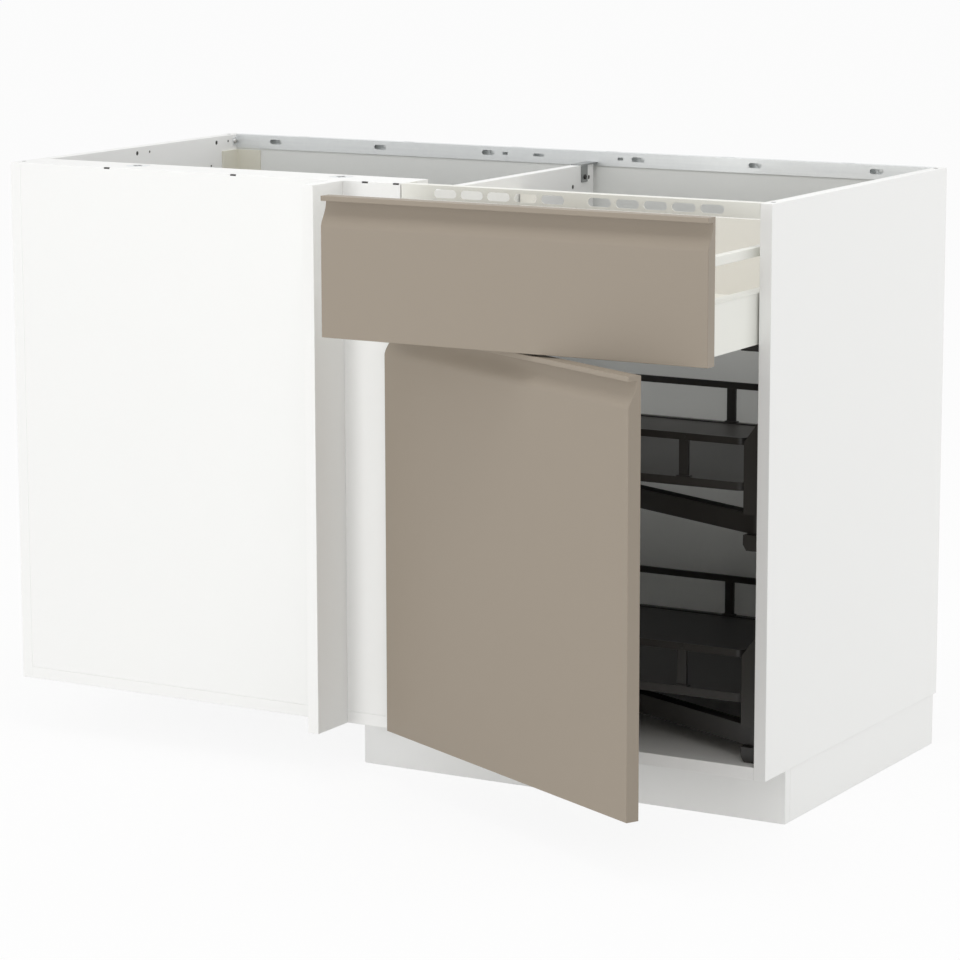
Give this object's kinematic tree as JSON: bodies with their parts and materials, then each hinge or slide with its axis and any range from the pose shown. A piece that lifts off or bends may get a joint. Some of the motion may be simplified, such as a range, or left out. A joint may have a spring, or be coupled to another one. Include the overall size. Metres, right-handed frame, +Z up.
{
  "type": "corner base cabinet",
  "caption": "Kitchen corner base cabinet with a fixed blind front, a hinged door, a drawer on telescopic runners and kidney-shaped trays on swing arms.",
  "frame": {"origin": "on the floor, under the middle of the whole object's box at rest", "axes": "+X to the right along the front, +Y to the back wall, +Z up"},
  "size_m": [1.275, 0.8845, 0.88],
  "materials": {
    "white_board": "white melamine board",
    "back_board": "white painted hardboard",
    "zinc_steel": "zinc plated sheet",
    "white_steel": "white powder coat",
    "drawer_board": "white foiled board",
    "front_lacquer": "matt beige lacquer",
    "runner_steel": "zinc plated",
    "bright_steel": "nickel plated",
    "dark_steel": "dark grey coat",
    "dark_plastic": "moulded",
    "cleat_plastic": "moulded",
    "tray_board": "dark grey foil",
    "clear_bumper": "soft clear"
  },
  "bodies": {
    "cabinet": {"left_side_panel": "white_board", "right_side_panel": "white_board", "bottom_panel": "white_board", "back_panel": "back_board", "back_rail": "zinc_steel", "blind_front_panel": "white_board", "filler_panel": "white_board", "front_stretcher": "white_board", "cover_caps": "white_steel", "panel_clips": "dark_steel", "panel_plugs": "dark_plastic", "vent_rail": "white_steel", "rail_screws": "bright_steel", "drawer_partition": "white_board", "partition_bracket": "runner_steel", "bracket_screw": "bright_steel", "hinge_post": "white_board", "hinge_plates": "bright_steel", "hinge_arms": "bright_steel", "corner_cleat": "cleat_plastic", "plinth_front": "white_board", "plinth_side": "white_board", "plinth_clips": "dark_plastic", "leg_plates": "dark_plastic", "leg_tubes": "dark_plastic", "leg_feet": "dark_plastic", "runner_cabinet_right": "runner_steel", "runner_cabinet_left": "runner_steel", "runner_stops": "dark_plastic", "lower_tray_bracket": "dark_steel", "lower_arm_pin": "bright_steel", "upper_tray_bracket": "dark_steel", "upper_arm_pin": "bright_steel"},
    "runner_middle": {"runner_middle_right": "runner_steel", "runner_middle_left": "runner_steel"},
    "drawer": {"runner_drawer_right": "runner_steel", "runner_drawer_left": "runner_steel", "drawer_front": "front_lacquer", "drawer_side_right": "white_steel", "drawer_side_left": "white_steel", "drawer_floor": "drawer_board", "drawer_back": "drawer_board", "gallery_rail_right": "white_steel", "gallery_rail_left": "white_steel", "front_brackets": "white_steel"},
    "door": {"door_panel": "front_lacquer", "hinge_cups": "bright_steel", "hinge_pins": "bright_steel", "door_bumpers": "clear_bumper"},
    "lower_arm": {"lower_arm": "dark_steel", "lower_tray_pin": "bright_steel"},
    "lower_tray": {"lower_tray_floor": "tray_board", "lower_tray_posts": "dark_plastic", "lower_tray_fence": "dark_steel"},
    "upper_arm": {"upper_arm": "dark_steel", "upper_tray_pin": "bright_steel"},
    "upper_tray": {"upper_tray_floor": "tray_board", "upper_tray_posts": "dark_plastic", "upper_tray_fence": "dark_steel"}
  },
  "joints": [
    {"name": "drawer_slide", "type": "slide", "parent": "cabinet", "child": "drawer", "axis": [0, -1, 0], "range_m": [-0.165, 0.305]},
    {"name": "runner_slide", "type": "slide", "parent": "cabinet", "child": "runner_middle", "axis": [0, -1, 0], "range_m": [-0.0825, 0.1525]},
    {"name": "door_hinge", "type": "hinge", "parent": "cabinet", "child": "door", "pos_m": [0.0475, -0.17263, 0.38], "axis": [0, 0, -1], "range_deg": [-26.5, 68.5]},
    {"name": "lower_arm_swing", "type": "hinge", "parent": "cabinet", "child": "lower_arm", "pos_m": [0.6025, -0.11763, 0.12], "axis": [0, 0, 1], "range_deg": [-7.95, 20.55]},
    {"name": "lower_tray_turn", "type": "hinge", "parent": "lower_arm", "child": "lower_tray", "pos_m": [0.16131, 0.07147, 0.174], "axis": [0, 0, 1], "range_deg": [-20.55, 7.95]},
    {"name": "upper_arm_swing", "type": "hinge", "parent": "cabinet", "child": "upper_arm", "pos_m": [0.6025, -0.11763, 0.42], "axis": [0, 0, 1], "range_deg": [-7.95, 20.55]},
    {"name": "upper_tray_turn", "type": "hinge", "parent": "upper_arm", "child": "upper_tray", "pos_m": [0.16131, 0.07147, 0.474], "axis": [0, 0, 1], "range_deg": [-20.55, 7.95]}
  ],
  "couplings": [
    {"joint": "runner_slide", "follows": "drawer_slide", "ratio": 0.5},
    {"joint": "lower_arm_swing", "follows": "door_hinge", "ratio": 0.3},
    {"joint": "lower_tray_turn", "follows": "door_hinge", "ratio": -0.3},
    {"joint": "upper_arm_swing", "follows": "door_hinge", "ratio": 0.3},
    {"joint": "upper_tray_turn", "follows": "door_hinge", "ratio": -0.3}
  ]
}
